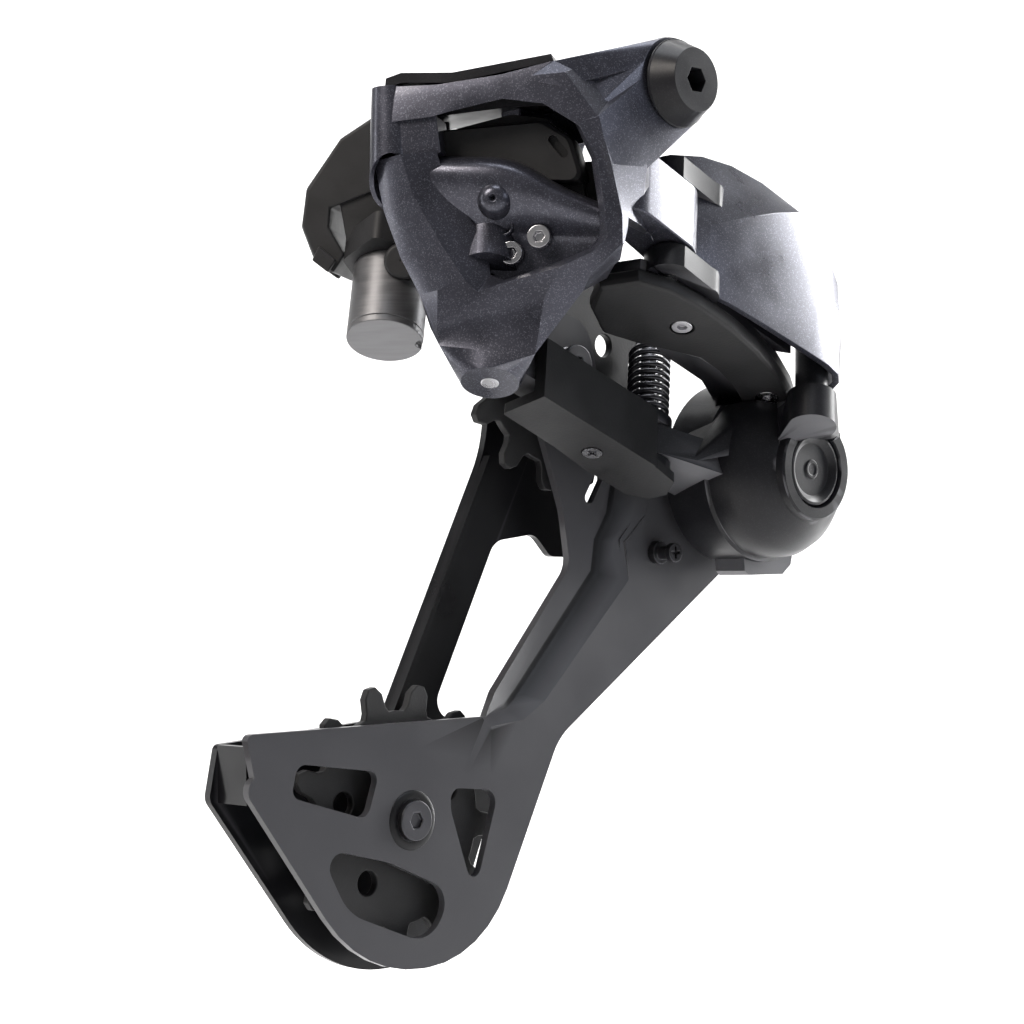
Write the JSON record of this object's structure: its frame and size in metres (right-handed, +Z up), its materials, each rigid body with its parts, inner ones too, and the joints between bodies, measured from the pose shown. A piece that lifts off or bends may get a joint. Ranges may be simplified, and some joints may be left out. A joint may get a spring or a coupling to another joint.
{
  "type": "rear bicycle derailleur",
  "caption": "Electronic rear derailleur with parallelogram links, sprung long cage and toothed chain pulleys.",
  "frame": {"origin": "centre of the mounting axle at the outer face of the dropout hanger, where the thread starts", "axes": "+X to the front of the bicycle, +Y along the mounting thread towards the wheel, +Z up"},
  "size_m": [0.1618, 0.0825, 0.197],
  "materials": {
    "anthracite_paint": "fine metallic satin paint",
    "cage_black": "satin black coated alloy sheet",
    "black_alloy": "satin black anodised alloy",
    "dark_plastic": "matte glass-filled plastic",
    "motor_metal": "grey turned metal",
    "bright_steel": "bright zinc-plated steel",
    "dark_steel": "dark oiled steel",
    "bushing": "sintered bronze",
    "battery_case": "smooth black plastic",
    "board": "coated circuit board"
  },
  "bodies": {
    "hanger_side": {"mounting_axle": "black_alloy", "axle_stop_plate": "bright_steel"},
    "body_knuckle": {"knuckle_frame": "anthracite_paint", "knuckle_lower_housing": "anthracite_paint", "axle_bushing": "bushing", "battery_housing": "dark_plastic", "battery": "battery_case", "battery_cover": "black_alloy", "motor_can": "motor_metal", "motor_end_cap": "motor_metal", "gearbox_case": "dark_plastic", "motor_shell": "dark_plastic", "charge_port": "dark_plastic", "control_board": "board", "limit_screws": "bright_steel", "inner_b_pin": "bright_steel", "outer_b_pin": "bright_steel"},
    "battery_latch": {"battery_latch": "dark_plastic"},
    "function_button": {"function_button": "dark_plastic"},
    "outer_link": {"outer_link_panel": "anthracite_paint", "bumper": "dark_plastic", "bumper_screws": "bright_steel"},
    "inner_link": {"inner_link_arm": "black_alloy", "inner_link_guard": "dark_plastic", "guard_screw": "bright_steel", "saver_spring": "dark_steel", "inner_p_pin": "bright_steel"},
    "cage_knuckle": {"p_knuckle_body": "black_alloy", "knuckle_rear_cover": "dark_plastic", "cage_spring": "dark_steel", "clutch_drum": "bright_steel", "pivot_cap": "black_alloy", "outer_p_pin": "bright_steel"},
    "cage": {"cage_axle": "bright_steel", "outer_cage_plate": "cage_black", "inner_cage_plate": "cage_black", "cage_stop_pin": "dark_steel", "guide_pulley_bolt": "dark_steel", "guide_pulley_sleeve": "bright_steel", "tension_pulley_bolt": "dark_steel", "tension_pulley_sleeve": "bright_steel"},
    "guide_pulley": {"guide_pulley_wheel": "dark_plastic", "guide_pulley_bearing": "bright_steel"},
    "tension_pulley": {"tension_pulley_wheel": "dark_plastic", "tension_pulley_bearing": "bright_steel"}
  },
  "joints": [
    {"name": "body_pivot", "type": "hinge", "parent": "hanger_side", "child": "body_knuckle", "pos_m": [0, 0, 0], "axis": [0, 1, 0], "range_deg": [0, 20], "stiffness_Nm_per_rad": 0.8, "springref_deg": -28.65},
    {"name": "outer_link_swing", "type": "hinge", "parent": "body_knuckle", "child": "outer_link", "pos_m": [0.00247, -0.0104, -0.03385], "axis": [0.3699, 0.28, 0.8859], "range_deg": [-4, 36]},
    {"name": "inner_link_swing", "type": "hinge", "parent": "body_knuckle", "child": "inner_link", "pos_m": [-0.0317, 0.01, -0.0599], "axis": [0.3699, 0.28, 0.8859], "range_deg": [-4, 36]},
    {"name": "cage_knuckle_swing", "type": "hinge", "parent": "outer_link", "child": "cage_knuckle", "pos_m": [0.04954, -0.0104, -0.0535], "axis": [0.3699, 0.28, 0.8859], "range_deg": [-36, 4]},
    {"name": "cage_pivot", "type": "hinge", "parent": "cage_knuckle", "child": "cage", "pos_m": [0.0496, 0.0194, -0.0812], "axis": [0, -1, 0], "range_deg": [0, 80], "stiffness_Nm_per_rad": 0.4, "springref_deg": -51.57},
    {"name": "guide_pulley_spin", "type": "hinge", "parent": "cage", "child": "guide_pulley", "pos_m": [0.0026, 0.025, -0.0572], "axis": [0, 1, 0], "continuous": true},
    {"name": "tension_pulley_spin", "type": "hinge", "parent": "cage", "child": "tension_pulley", "pos_m": [-0.0475, 0.025, -0.1545], "axis": [0, 1, 0], "continuous": true},
    {"name": "battery_latch_lift", "type": "hinge", "parent": "body_knuckle", "child": "battery_latch", "pos_m": [-0.02496, 0.01945, 0.0034], "axis": [-0.8097, -0.5868, 0], "range_deg": [0, 70]},
    {"name": "function_button_press", "type": "slide", "parent": "body_knuckle", "child": "function_button", "axis": [0.3551, -0.49, 0.7961], "range_m": [0, 0.0006], "stiffness_N_per_m": 300, "springref_m": -0.0004}
  ],
  "couplings": [
    {"joint": "inner_link_swing", "follows": "outer_link_swing", "ratio": 1},
    {"joint": "cage_knuckle_swing", "follows": "outer_link_swing", "ratio": -1}
  ]
}
